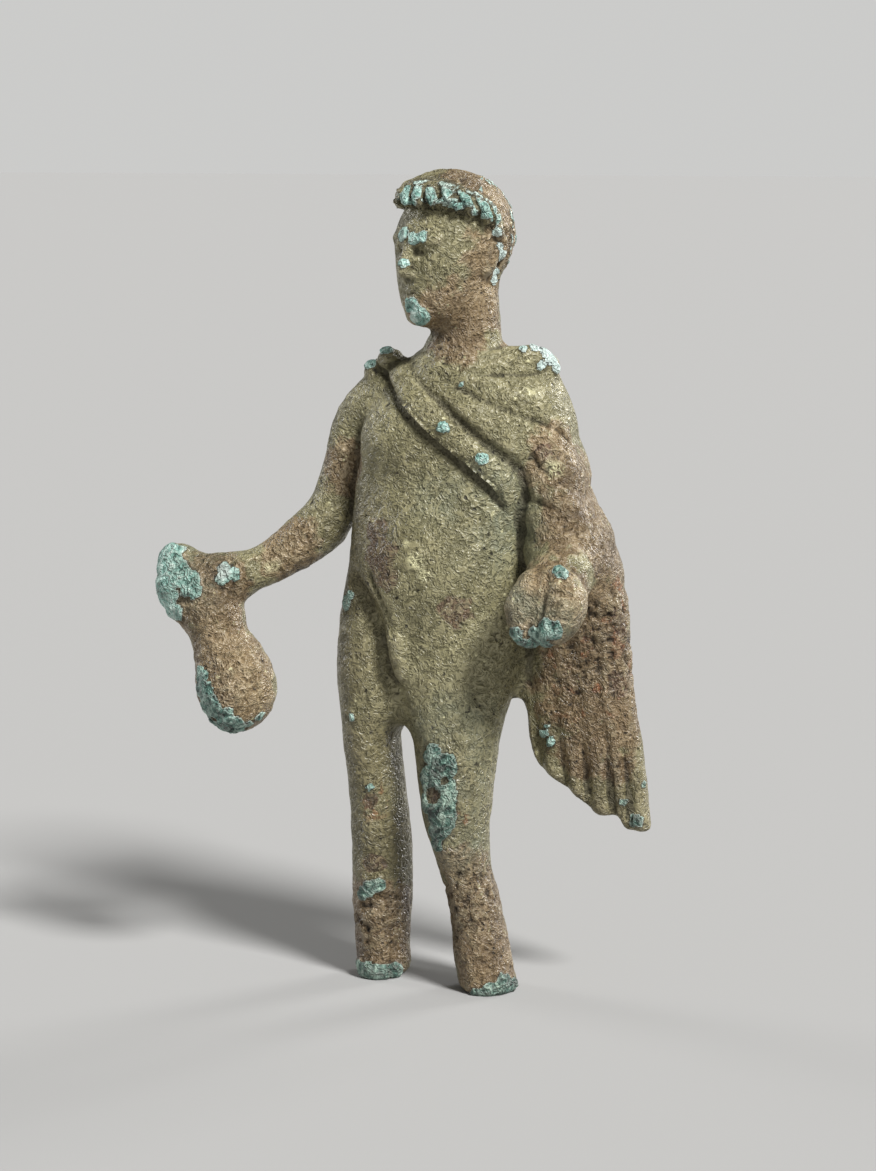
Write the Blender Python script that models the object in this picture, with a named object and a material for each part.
"""A small solid-cast bronze youth in the Roman manner, with a cloak and a purse. Its feet are lost.

The whole figure is one cast solid. Its form is worked out as a distance field, a number at each
point of space that is negative inside the metal, and the surface is drawn where that number is
zero. The figure faces -Y and stands on the two worn ends of its legs, with +Z up.
"""

import math

import bmesh
import bpy
import numpy as np

# Driving sizes, in metres
HEIGHT = 0.090
CLOAK_THICKNESS = 0.0010
HEM_ROLL_WIDTH = 0.0035
HEM_ROLL_HEIGHT = 0.0009
FOLD_DEPTH = 0.0007
HAIR_THICKNESS = 0.0006
LOCK_DEPTH = 0.0006
SOLE_ROUNDING = 0.0013
JOIN_RADIUS = 0.0008

# How the surface is drawn
GRID_STEP = 0.00045
TRIANGLES = 9400

# The pose is kept as shares of the height: 1 unit is a ninetieth of it.
UNIT = HEIGHT / 90
FRAME_LOW = np.array((-33.0, -16.0, -1.5)) * UNIT
FRAME_HIGH = np.array((27.0, 12.0, 93.0)) * UNIT

# Stations of the upright forms: height, centre x, centre y, half width, half depth
TORSO = (
    (29.0, -1.7, -0.2, 8.0, 4.4),
    (34.0, -1.1, 0.0, 9.9, 5.5),
    (38.3, -0.6, -0.2, 10.3, 5.9),
    (43.0, -0.2, -0.8, 10.2, 6.0),
    (47.4, 0.2, -1.1, 9.9, 5.9),
    (54.0, 0.7, -0.6, 10.0, 5.5),
    (59.5, 1.6, -0.1, 10.1, 5.3),
    (64.0, 2.5, 0.3, 9.8, 4.9),
    (67.0, 2.8, 0.7, 8.6, 4.3),
    (70.5, 3.1, 0.7, 4.6, 3.6),
)
RIGHT_LEG = (
    (-0.2, -6.7, 0.7, 2.8, 3.9),
    (1.4, -6.7, 0.7, 2.9, 3.9),
    (3.8, -6.8, 0.6, 3.0, 3.8),
    (8.4, -6.8, 0.5, 3.3, 3.9),
    (14.2, -6.75, 0.35, 3.35, 4.0),
    (20.0, -6.9, -0.2, 3.15, 4.0),
    (26.7, -7.65, -0.3, 3.1, 4.5),
    (31.2, -7.6, -0.2, 3.4, 5.0),
    (38.5, -7.45, 0.0, 3.45, 5.1),
    (44.0, -6.6, 0.2, 2.6, 4.0),
)
LEFT_LEG = (
    (-0.2, 6.75, -1.7, 3.25, 3.9),
    (1.2, 6.4, -1.7, 3.2, 3.9),
    (3.3, 5.95, -1.7, 3.15, 3.8),
    (6.6, 5.45, -1.7, 2.95, 3.7),
    (9.9, 4.95, -1.85, 2.85, 3.7),
    (13.3, 4.1, -2.2, 2.8, 3.7),
    (17.8, 3.25, -2.6, 3.5, 4.1),
    (21.1, 3.05, -2.4, 4.0, 4.5),
    (25.5, 2.8, -1.8, 4.5, 4.9),
    (31.9, 2.7, -1.0, 5.4, 5.3),
    (38.5, 2.9, -0.3, 5.8, 5.6),
    (44.0, 2.9, 0.1, 5.0, 4.6),
)
CLOAK_FALL = (
    (14.0, 17.0, 3.0, 6.7, 1.8),
    (18.1, 16.9, 3.0, 6.75, 1.9),
    (27.6, 16.0, 2.8, 6.6, 2.2),
    (32.1, 15.5, 2.6, 6.4, 2.4),
    (36.6, 15.4, 2.4, 6.1, 2.7),
    (41.0, 15.4, 2.1, 5.9, 3.3),
    (45.5, 15.3, 1.4, 5.5, 4.3),
    (49.8, 14.9, 0.7, 4.8, 5.2),
    (54.2, 13.9, 0.6, 3.7, 5.0),
    (58.6, 13.1, 0.8, 3.4, 4.6),
    (62.9, 12.1, 1.0, 3.0, 4.2),
    (66.6, 11.1, 1.1, 2.9, 3.6),
    (69.6, 9.9, 1.1, 2.1, 2.4),
)

# Paths of the round forms: x, y, z, radius
RIGHT_ARM = (
    (-6.4, 0.8, 65.4, 3.0),
    (-8.6, 0.7, 63.7, 2.7),
    (-10.4, 0.8, 61.3, 2.35),
    (-10.8, 0.8, 58.5, 2.5),
    (-11.7, 0.8, 55.6, 2.5),
    (-12.4, 0.6, 53.0, 2.75),
    (-13.6, 0.0, 50.7, 3.0),
    (-15.4, -0.8, 49.0, 2.85),
    (-17.5, -1.8, 47.4, 2.5),
    (-19.8, -3.0, 46.0, 2.35),
    (-22.1, -4.4, 45.1, 2.45),
)
RIGHT_HAND = (
    (-23.0, -5.0, 44.7, 2.8),
    (-25.1, -5.7, 44.3, 3.2),
    (-24.4, -6.2, 41.2, 3.3),
)
HAND_LUMP = (
    (-28.2, -6.0, 46.3, 2.35),
    (-28.0, -6.2, 44.2, 2.8),
    (-27.4, -6.3, 42.2, 2.6),
)
PURSE = (
    (-24.4, -6.2, 41.3, 3.1),
    (-23.4, -6.2, 38.0, 3.3),
    (-22.1, -6.2, 35.2, 4.1),
    (-21.5, -6.2, 32.9, 4.55),
    (-21.5, -6.2, 31.7, 3.9),
)
LEFT_FOREARM = (
    (15.4, 0.6, 50.0, 3.9),
    (15.5, -3.4, 47.6, 3.8),
    (15.6, -7.0, 45.2, 3.5),
)
LEFT_THUMB = (
    (13.9, -9.2, 46.3, 1.5),
    (13.0, -9.8, 44.0, 1.9),
    (13.5, -9.8, 41.6, 1.7),
)
LEFT_FINGERS = (
    (16.8, -9.6, 47.0, 1.6),
    (17.7, -9.8, 44.9, 2.4),
    (16.4, -10.2, 42.2, 1.9),
)
SHOULDER_FOLD = (
    (4.2, -3.0, 69.2, 0.7),
    (7.6, -1.4, 69.4, 1.2),
    (10.4, -0.2, 69.7, 1.5),
    (12.3, 0.6, 68.9, 1.4),
)
SHOULDER_VALLEY = (
    (4.6, -5.2, 68.4, 0.35),
    (8.0, -4.6, 68.0, 0.55),
    (12.6, -2.6, 67.4, 0.45),
)

# The cloak's edge over the chest and over the back, and its hanging corner: x, height
CHEST_HEM = (
    (-13.0, 72.0),
    (-7.5, 69.3),
    (-4.5, 66.3),
    (-1.5, 63.1),
    (2.0, 60.1),
    (5.8, 57.1),
    (8.3, 54.6),
    (9.3, 52.0),
    (9.6, 47.0),
    (9.8, 28.0),
)
BACK_HEM = (
    (-15.0, 63.0),
    (-10.6, 57.0),
    (-7.0, 49.0),
    (-2.0, 41.5),
    (4.0, 35.0),
    (9.5, 31.4),
    (26.0, 31.0),
)
CLOAK_CORNER = (
    (5.0, 34.5),
    (9.1, 31.4),
    (9.8, 28.0),
    (10.9, 25.0),
    (12.8, 23.5),
    (16.1, 21.3),
    (17.9, 19.7),
    (20.2, 19.6),
    (21.4, 18.2),
    (24.0, 18.0),
)

# Folds fan out from a point beyond the right shoulder: angles below the level, in degrees
CHEST_FAN = (-9.9, 72.5)
CHEST_FOLDS = (-20.0, 1.0, 13.0, 23.0, 35.0, 60.0, 90.0)
BACK_FAN = (-12.0, 76.0)
BACK_FOLDS = (2.0, 14.0, 25.0, 35.0, 45.0, 55.0, 66.0, 90.0)
FALL_FOLD_WIDTH = 2.3
SLEEVE_SLANT = 0.68
SLEEVE_FOLDS = (50.0, 54.4, 58.8, 63.0, 67.0, 71.5, 76.0, 81.0, 86.0)

# The head: where it is and how it is turned. The rest is kept along its own axes.
HEAD_CENTRE = (1.7, -0.5, 80.9)
HEAD_TURN = -27.0
HEAD_BOW = 4.0
HEAD_TILT = 2.0
SKULL_CENTRE = (0.0, 0.5, 2.0)
SKULL_RADII = (5.7, 6.3, 6.3)
LOCK_TURN = 15.0
LOCK_LEAN = 0.22
LOCK_DROP = 1.4
HAIRLINE = (
    (0.0, 6.1),
    (35.0, 6.0),
    (55.0, 5.5),
    (75.0, 4.6),
    (90.0, 3.6),
    (102.0, 2.0),
    (113.0, -2.2),
    (128.0, -4.0),
    (180.0, -4.6),
)
BRONZE = (0.21, 0.19, 0.125, 1.0)

# A grid cube cut in six tetrahedra, and the ways in which the surface can cross one
TETRAHEDRA = ((0, 1, 3, 7), (0, 1, 5, 7), (0, 2, 3, 7), (0, 2, 6, 7), (0, 4, 5, 7), (0, 4, 6, 7))
TETRA_ORDERS = (
    ((0, 1, 2, 3), True),
    ((1, 0, 3, 2), True),
    ((2, 3, 0, 1), True),
    ((3, 2, 1, 0), True),
    ((0, 1, 2, 3), False),
    ((0, 2, 3, 1), False),
    ((0, 3, 1, 2), False),
    ((1, 2, 0, 3), False),
    ((1, 3, 2, 0), False),
    ((2, 3, 0, 1), False),
)


def in_units(rows):
    """A table of the pose in metres."""
    return np.asarray(rows, float) * UNIT


def soft_union(first, second, radius):
    """The two forms run together, with a fillet of about that radius."""
    share = np.clip(0.5 + 0.5 * (second - first) / radius, 0, 1)
    return second + (first - second) * share - radius * share * (1 - share)


def soft_overlap(first, second, radius):
    return -soft_union(-first, -second, radius)


def soft_cut(form, cutter, radius):
    return -soft_union(-form, cutter, radius)


def smooth_step(value, low, high):
    share = np.clip((value - low) / (high - low), 0, 1)
    return share * share * (3 - 2 * share)


def through(rows, steps=6):
    """A smooth curve through the rows of a table, as a longer table."""
    rows = np.asarray(rows, float)
    ends = np.vstack((2 * rows[0] - rows[1], rows, 2 * rows[-1] - rows[-2]))
    found = []
    for before, start, end, after in zip(ends, ends[1:], ends[2:], ends[3:]):
        for t in np.arange(steps) / steps:
            found.append(
                0.5
                * (
                    2 * start
                    + (end - before) * t
                    + (2 * before - 5 * start + 4 * end - after) * t**2
                    + (3 * start - before - 3 * end + after) * t**3
                )
            )
    found.append(rows[-1])
    return np.array(found)


def ellipsoid(points, centre, radii):
    """Distance, near enough, to an ellipsoid along the axes."""
    offset = points - np.asarray(centre, float)
    scaled = np.linalg.norm(offset / radii, axis=1)
    slope = np.linalg.norm(offset / np.square(radii), axis=1)
    return scaled * (scaled - 1) / np.maximum(slope, 1e-9)


def capsule(points, start, end, start_radius, end_radius):
    """Distance to a bar with round ends whose radius changes evenly along it."""
    along = end - start
    share = np.clip((points - start) @ along / (along @ along), 0, 1)
    nearest = start + share[:, None] * along
    return np.linalg.norm(points - nearest, axis=1) - (
        start_radius + share * (end_radius - start_radius)
    )


def limb(points, path, steps=2):
    """A round form along a path of x, y, z and radius."""
    rows = through(in_units(path), steps)
    found = np.full(len(points), np.inf)
    for start, end in zip(rows, rows[1:]):
        found = np.minimum(found, capsule(points, start[:3], end[:3], start[3], end[3]))
    return found


def column(points, stations, end_radius, box=2.0):
    """An upright form given by level cross sections: ellipses, or squarer ones for a larger box."""
    rows = through(in_units(stations))
    height = points[:, 2]
    x, y, width, depth = (np.interp(height, rows[:, 0], rows[:, i]) for i in range(1, 5))
    across = (points[:, 0] - x) / width
    deep = (points[:, 1] - y) / depth
    scaled = (np.abs(across) ** box + np.abs(deep) ** box) ** (1 / box)
    slope = np.hypot(across / width, deep / depth) / np.maximum(np.hypot(across, deep), 1e-9)
    side = (scaled - 1) / np.maximum(slope, 1e-9)
    beyond = np.maximum(rows[0, 0] - height, height - rows[-1, 0])
    return soft_overlap(side, beyond, end_radius)


def folds_between(value, edges):
    """Rounded folds side by side: 0 at each of the edges and 1 half way between two of them."""
    edges = np.asarray(edges, float)
    found = np.clip(np.searchsorted(edges, value) - 1, 0, len(edges) - 2)
    share = (value - edges[found]) / (edges[found + 1] - edges[found])
    return np.sin(np.pi * np.clip(share, 0, 1))


def beside_path(points, path):
    """Distance from a path of x and height, seen from the front. It is negative above the path."""
    rows = through(in_units(path), 4)
    seen = points[:, (0, 2)]
    nearest = np.full(len(points), np.inf)
    side = np.ones(len(points))
    for start, end in zip(rows, rows[1:]):
        along = end - start
        offset = seen - start
        share = np.clip(offset @ along / (along @ along), 0, 1)
        away = offset - share[:, None] * along
        distance = np.hypot(away[:, 0], away[:, 1])
        closer = distance < nearest
        nearest[closer] = distance[closer]
        turn = along[0] * offset[:, 1] - along[1] * offset[:, 0]
        side[closer] = np.where(turn[closer] > 0, -1, 1)
    return nearest * side


def fan_of_folds(points, centre, angles):
    """Folds that fan out from a point beyond the shoulder, and grow wider away from it."""
    x, z = np.asarray(centre) * UNIT
    angle = np.degrees(np.arctan2(z - points[:, 2], points[:, 0] - x))
    reach = np.hypot(points[:, 0] - x, points[:, 2] - z)
    return folds_between(angle, angles) * smooth_step(reach, 8 * UNIT, 18 * UNIT)


def torso_field(points):
    trunk = column(points, TORSO, 4 * UNIT, 2.25)
    chest = ellipsoid(points, np.array((-2.8, -3.1, 61.0)) * UNIT, np.array((4.6, 2.5, 3.6)) * UNIT)
    trunk = soft_union(trunk, chest, 2.5 * UNIT)
    belly = ellipsoid(points, np.array((-0.2, -3.8, 46.8)) * UNIT, np.array((6.0, 3.4, 6.4)) * UNIT)
    return soft_union(trunk, belly, 2.5 * UNIT)


def legs_field(points):
    right = column(points, RIGHT_LEG, SOLE_ROUNDING)
    left = column(points, LEFT_LEG, SOLE_ROUNDING)
    return soft_union(right, left, JOIN_RADIUS)


def body_field(points, torso):
    """The bare youth without head, cloak and hands."""
    body = soft_union(torso, legs_field(points), 2.0 * UNIT)
    groin = limb(
        points,
        (
            (-7.9, -5.2, 45.4, 0.6),
            (-5.9, -6.2, 42.4, 1.1),
            (-4.6, -6.1, 38.4, 1.3),
            (-3.6, -5.8, 34.0, 1.3),
            (-2.9, -5.5, 27.0, 1.4),
        ),
    )
    body = soft_cut(body, groin, 1.2 * UNIT)
    manhood = limb(points, ((-2.5, -5.2, 42.6, 0.9), (-2.5, -5.7, 39.0, 1.3), (-2.0, -5.3, 35.6, 1.1)))
    body = soft_union(body, manhood, 1.0 * UNIT)
    neck = limb(points, ((2.2, 0.8, 67.6, 5.4), (3.2, 0.5, 71.8, 3.8), (2.9, 0.2, 77.0, 3.8)))
    body = soft_union(body, neck, 2.2 * UNIT)
    return soft_union(body, limb(points, RIGHT_ARM), 1.2 * UNIT)


def fall_field(points):
    """The cloak over the left arm, and its end that hangs down from there in upright folds."""
    fall = column(points, CLOAK_FALL, 1.5 * UNIT, 2.4)
    place = points[:, 0] / UNIT + 0.5 * np.sin(points[:, 2] / UNIT * 0.15)
    fold = 0.5 - 0.5 * np.cos(2 * np.pi * place / FALL_FOLD_WIDTH)
    high_up = smooth_step(points[:, 2], 32 * UNIT, 50 * UNIT)
    low_down = (1 - high_up) * (1 - 0.55 * smooth_step(points[:, 2], 26 * UNIT, 34 * UNIT))
    slant = (points[:, 2] + SLEEVE_SLANT * points[:, 0]) / UNIT
    sleeve = folds_between(slant, SLEEVE_FOLDS) - 0.6
    fall = fall - FOLD_DEPTH * ((fold - 0.6) * low_down + 0.5 * sleeve * high_up)
    fall = soft_overlap(fall, beside_path(points, CLOAK_CORNER), JOIN_RADIUS)
    return soft_union(fall, limb(points, LEFT_FOREARM), 1.5 * UNIT)


def cloak_field(points, torso):
    """The cloak lies over the left shoulder, chest and back, and hangs down from the left arm."""
    behind = smooth_step(points[:, 1], -1.5 * UNIT, 2.5 * UNIT)
    chest_hem = beside_path(points, CHEST_HEM)
    back_hem = beside_path(points, BACK_HEM)

    roll = HEM_ROLL_HEIGHT * np.sin(np.pi * np.clip(-chest_hem / HEM_ROLL_WIDTH, 0, 1))
    past_roll = smooth_step(-chest_hem, HEM_ROLL_WIDTH, 1.5 * HEM_ROLL_WIDTH)
    chest_folds = fan_of_folds(points, CHEST_FAN, CHEST_FOLDS)
    chest = CLOAK_THICKNESS + roll + past_roll * (0.3 + 0.7 * chest_folds) * FOLD_DEPTH
    chest = chest * smooth_step(points[:, 2], 49 * UNIT, 57 * UNIT)
    back = CLOAK_THICKNESS + FOLD_DEPTH * fan_of_folds(points, BACK_FAN, BACK_FOLDS)

    shawl = torso - chest * (1 - behind) - back * behind
    hem = chest_hem * (1 - behind) + back_hem * behind
    shawl = soft_overlap(shawl, hem, JOIN_RADIUS)
    neckline = ellipsoid(
        points, np.array((3.7, -1.4, 73.6)) * UNIT, np.array((5.0, 5.2, 5.8)) * UNIT
    )
    shawl = soft_overlap(shawl, -neckline, JOIN_RADIUS)
    shawl = soft_union(shawl, limb(points, SHOULDER_FOLD), 1.2 * UNIT)
    shawl = soft_cut(shawl, limb(points, SHOULDER_VALLEY), 0.6 * UNIT)
    return soft_union(shawl, fall_field(points), 0.9 * UNIT)


def head_axes():
    """Rows are the head's own x, y and z in the figure's frame. The face looks along its -y."""
    turn, bow, tilt = (math.radians(a) for a in (HEAD_TURN, HEAD_BOW, HEAD_TILT))
    about_z = np.array(
        ((math.cos(turn), -math.sin(turn), 0), (math.sin(turn), math.cos(turn), 0), (0, 0, 1))
    )
    about_x = np.array(
        ((1, 0, 0), (0, math.cos(bow), -math.sin(bow)), (0, math.sin(bow), math.cos(bow)))
    )
    about_y = np.array(
        ((math.cos(tilt), 0, math.sin(tilt)), (0, 1, 0), (-math.sin(tilt), 0, math.cos(tilt)))
    )
    return (about_z @ about_x @ about_y).T


def oval(points, centre, radii):
    return ellipsoid(points, np.asarray(centre) * UNIT, np.asarray(radii) * UNIT)


def twin_ovals(points, centre, radii):
    """The same ellipsoid on the left and on the right of the head."""
    mirrored = np.column_stack((np.abs(points[:, 0]), points[:, 1:]))
    return oval(mirrored, centre, radii)


def face_field(points, skull):
    """The skull and a calm, even face, eyes half way up, in the head's own frame."""
    head = soft_union(skull, oval(points, (0, -1.7, -1.4), (4.8, 4.7, 6.4)), 2.0 * UNIT)
    head = soft_union(head, oval(points, (0, -2.0, -4.9), (3.5, 3.7, 2.7)), 2.0 * UNIT)
    head = soft_union(head, oval(points, (0, -5.0, -6.2), (1.5, 1.1, 1.1)), 1.2 * UNIT)
    head = soft_union(head, twin_ovals(points, (1.9, -4.9, 1.9), (1.7, 1.1, 0.55)), 0.9 * UNIT)
    head = soft_cut(head, twin_ovals(points, (2.0, -6.7, 0.7), (1.5, 1.5, 0.95)), 0.6 * UNIT)
    head = soft_union(head, twin_ovals(points, (2.0, -4.85, 0.7), (1.15, 0.9, 0.6)), 0.25 * UNIT)
    nose = limb(points, ((0, -5.8, 2.0, 0.55), (0, -6.5, 0.2, 0.65), (0, -7.0, -1.3, 0.85)))
    head = soft_union(head, nose, 0.6 * UNIT)
    head = soft_union(head, twin_ovals(points, (0.7, -6.3, -1.7), (0.55, 0.65, 0.5)), 0.3 * UNIT)
    head = soft_union(head, oval(points, (0, -5.6, -3.7), (1.6, 0.75, 0.85)), 0.5 * UNIT)
    head = soft_cut(head, oval(points, (0, -6.5, -3.7), (1.5, 0.6, 0.16)), 0.3 * UNIT)
    return soft_union(head, twin_ovals(points, (5.2, 0.6, -0.2), (0.8, 1.3, 1.8)), 0.4 * UNIT)


def hair_field(points, skull):
    """A close cap of hair, with a roll over the brow and a fringe of short comma locks below it."""
    mass = soft_union(skull, oval(points, (0, -0.9, 4.6), (5.3, 4.1, 3.5)), 1.5 * UNIT)
    x, y, z = points.T / UNIT
    around = np.degrees(np.arctan2(x, 0.5 - y))
    line = np.array(HAIRLINE)
    hairline = np.interp(np.abs(around), line[:, 0], line[:, 1])
    above = z - hairline
    sides = 1 - smooth_step(np.abs(around), 98, 112)
    over_locks = smooth_step(above, 1.3, 1.8)
    fringe = sides * (1 - over_locks)
    roll = sides * over_locks * (1 - smooth_step(above, 1.9, 2.5))
    lock = np.abs(np.sin(np.pi * (around / LOCK_TURN + LOCK_LEAN * above)))
    relief = HAIR_THICKNESS + LOCK_DEPTH * ((lock - 0.4) * fringe + 0.4 * roll)
    lower_edge = (hairline - LOCK_DROP * (lock - 0.5) * fringe - z) * UNIT
    return soft_overlap(mass - relief, 0.9 * lower_edge, 0.35 * UNIT)


def head_field(points):
    """The head. Points far below it get a number that is too large to matter."""
    found = np.full(len(points), 5 * UNIT)
    near = points[:, 2] > (HEAD_CENTRE[2] - 11) * UNIT
    local = (points[near] - np.array(HEAD_CENTRE) * UNIT) @ head_axes().T
    skull = oval(local, SKULL_CENTRE, SKULL_RADII)
    found[near] = soft_union(face_field(local, skull), hair_field(local, skull), 0.2 * UNIT)
    return found


def right_hand_field(points):
    """The closed hand with a lump of crust at its end, and the neck and bag of the purse below."""
    hand = soft_union(limb(points, RIGHT_HAND), limb(points, HAND_LUMP), 1.6 * UNIT)
    return soft_union(hand, limb(points, PURSE), 1.4 * UNIT)


def left_hand_field(points):
    """The left fist, seen end on, with a groove where something was held."""
    palm = ellipsoid(points, np.array((15.6, -8.3, 44.2)) * UNIT, np.array((4.1, 3.0, 4.3)) * UNIT)
    thumb, fingers = limb(points, LEFT_THUMB), limb(points, LEFT_FINGERS)
    return soft_union(palm, soft_union(thumb, fingers, 0.5 * UNIT), 1.2 * UNIT)


def brooch_field(points):
    """Two small knobs where the cloak is pinned on the right shoulder."""
    upper = ellipsoid(points, np.array((-5.3, -0.6, 69.2)) * UNIT, np.array((1.5, 1.7, 1.3)) * UNIT)
    lower = ellipsoid(points, np.array((-7.2, -0.6, 67.9)) * UNIT, np.array((1.1, 1.3, 1.1)) * UNIT)
    return soft_union(upper, lower, 0.5 * UNIT)


def figure_field(points):
    """Negative inside the bronze, positive outside it."""
    torso = torso_field(points)
    figure = soft_union(body_field(points, torso), right_hand_field(points), 1.4 * UNIT)
    figure = soft_union(figure, head_field(points), 1.2 * UNIT)
    figure = soft_union(figure, cloak_field(points, torso), 0.4 * UNIT)
    figure = soft_union(figure, brooch_field(points), 0.8 * UNIT)
    return soft_union(figure, left_hand_field(points), 0.4 * UNIT)


def sample(field, low, high, step, block=4):
    """The field on a grid. A block that lies far from the surface gets one value throughout."""
    counts = np.ceil((high - low) / step / block).astype(int)
    values = np.empty(counts * block + 1)
    corners = np.stack(np.meshgrid(*(np.arange(n) for n in counts), indexing="ij"), -1)
    corners = corners.reshape(-1, 3) * block
    middles = field(low + (corners + block / 2) * step)
    near = np.abs(middles) < block * step + 1.2 * UNIT
    coarse = np.where(near, 0, middles).reshape(counts)
    for axis in range(3):
        coarse = np.repeat(coarse, block, axis)
    values[:-1, :-1, :-1] = coarse
    for axis in range(3):
        last = [slice(None)] * 3
        last[axis] = -1
        values[tuple(last)] = block * step
    offsets = np.stack(np.meshgrid(*(np.arange(block + 1),) * 3, indexing="ij"), -1)
    index = (corners[near][:, None, :] + offsets.reshape(-1, 3)).reshape(-1, 3)
    index = np.unique(np.ravel_multi_index(index.T, values.shape))
    flat = values.reshape(-1)
    for part in np.array_split(index, max(1, len(index) // 200000)):
        place = np.stack(np.unravel_index(part, values.shape), 1)
        flat[part] = field(low + place * step)
    return values


def surface(values, low, step):
    """Points and triangles where the values change sign. Each grid cube is cut in six corners."""
    values = np.where(np.abs(values) < 0.01 * step, 0.01 * step, values)
    inside = values < 0
    cube = np.array([(i, j, k) for i in (0, 1) for j in (0, 1) for k in (0, 1)])
    cells = np.array(values.shape) - 1
    held = sum(
        inside[i : i + cells[0], j : j + cells[1], k : k + cells[2]].astype(int)
        for i, j, k in cube
    )
    active = np.argwhere((held > 0) & (held < 8))
    corner = np.stack(
        [np.ravel_multi_index((active + offset).T, values.shape) for offset in cube], 1
    )
    flat = values.ravel()
    edges = []
    for tetra in TETRAHEDRA:
        if np.linalg.det((cube[list(tetra[1:])] - cube[tetra[0]]).astype(float)) < 0:
            tetra = (tetra[0], tetra[2], tetra[1], tetra[3])
        ids = corner[:, tetra]
        code = (flat[ids] < 0) @ np.array((1, 2, 4, 8))
        for order, lone in TETRA_ORDERS:
            bits = sum(1 << i for i in (order[:1] if lone else order[:2]))
            for wanted, flip in ((bits, False),) + (((15 - bits, True),) if lone else ()):
                p, q, r, s = ids[code == wanted][:, order].T
                if lone:
                    corners = ((p, q), (p, r), (p, s))
                else:
                    corners = ((p, r), (p, s), (q, s), (q, r))
                ring = [np.sort(np.stack(pair, 1), 1) for pair in corners]
                if flip:
                    ring = ring[::-1]
                edges.append(np.stack(ring[:3], 1))
                if not lone:
                    edges.append(np.stack((ring[0], ring[2], ring[3]), 1))
    edges = np.concatenate(edges)
    key = edges[..., 0] * flat.size + edges[..., 1]
    found, faces = np.unique(key, return_inverse=True)
    first, second = found // flat.size, found % flat.size
    share = flat[first] / (flat[first] - flat[second])
    start = np.stack(np.unravel_index(first, values.shape), 1)
    end = np.stack(np.unravel_index(second, values.shape), 1)
    points = low + (start + share[:, None] * (end - start)) * step
    return points, faces.reshape(-1, 3)


def settle(points, field, reach):
    """Moves each point onto the true surface, along the field's slope."""
    nudge = 0.1 * reach
    for _ in range(2):
        value = field(points)
        slope = np.stack([(field(points + step) - value) / nudge for step in np.eye(3) * nudge], 1)
        steep = np.maximum((slope**2).sum(1), 0.25)
        points = points - np.clip(value / steep, -reach, reach)[:, None] * slope
    return points


def make_mesh(name, points, faces):
    mesh = bpy.data.meshes.new(name)
    mesh.from_pydata(points.tolist(), [], faces.tolist())
    mesh.validate()
    return mesh


def thinned(mesh, triangles):
    """The mesh with fewer triangles, fewest where the surface is plain."""
    obj = bpy.data.objects.new("thinning", mesh)
    bpy.context.collection.objects.link(obj)
    decimate = obj.modifiers.new("Thin", "DECIMATE")
    decimate.ratio = triangles / len(mesh.polygons)
    graph = bpy.context.evaluated_depsgraph_get()
    thin = bpy.data.meshes.new_from_object(obj.evaluated_get(graph))
    bpy.data.objects.remove(obj)
    return thin


def cut_flat(mesh):
    """Cuts the two soles flat at height 0 and closes them."""
    shape = bmesh.new()
    shape.from_mesh(mesh)
    everything = shape.verts[:] + shape.edges[:] + shape.faces[:]
    cut = bmesh.ops.bisect_plane(
        shape,
        geom=everything,
        dist=1e-6,
        plane_co=(0, 0, 0),
        plane_no=(0, 0, 1),
        clear_inner=True,
    )
    rim = [e for e in cut["geom_cut"] if isinstance(e, bmesh.types.BMEdge)]
    bmesh.ops.holes_fill(shape, edges=rim, sides=0)
    bmesh.ops.triangulate(shape, faces=shape.faces[:])
    bmesh.ops.recalc_face_normals(shape, faces=shape.faces[:])
    shape.to_mesh(mesh)
    shape.free()


def centre_over_base(mesh):
    """Puts the origin under the middle of the figure, at the height of the soles."""
    places = np.array([v.co for v in mesh.vertices])
    middle = (places.min(0) + places.max(0)) / 2
    for vertex in mesh.vertices:
        vertex.co.x -= middle[0]
        vertex.co.y -= middle[1]


def bronze():
    material = bpy.data.materials.new("patinated bronze")
    material.use_nodes = True
    shader = material.node_tree.nodes["Principled BSDF"]
    shader.inputs["Base Color"].default_value = BRONZE
    shader.inputs["Roughness"].default_value = 0.62
    shader.inputs["Metallic"].default_value = 0.25
    return material


def main():
    for obj in list(bpy.data.objects):
        bpy.data.objects.remove(obj)
    values = sample(figure_field, FRAME_LOW, FRAME_HIGH, GRID_STEP)
    points, faces = surface(values, FRAME_LOW, GRID_STEP)
    points = settle(points, figure_field, 0.5 * GRID_STEP)
    mesh = thinned(make_mesh("figurine", points, faces), TRIANGLES)
    cut_flat(mesh)
    centre_over_base(mesh)
    figurine = bpy.data.objects.new("figurine", mesh)
    bpy.context.collection.objects.link(figurine)
    mesh.materials.clear()
    mesh.materials.append(bronze())
    mesh.shade_smooth()
    mesh.set_sharp_from_angle(angle=math.radians(50))


main()
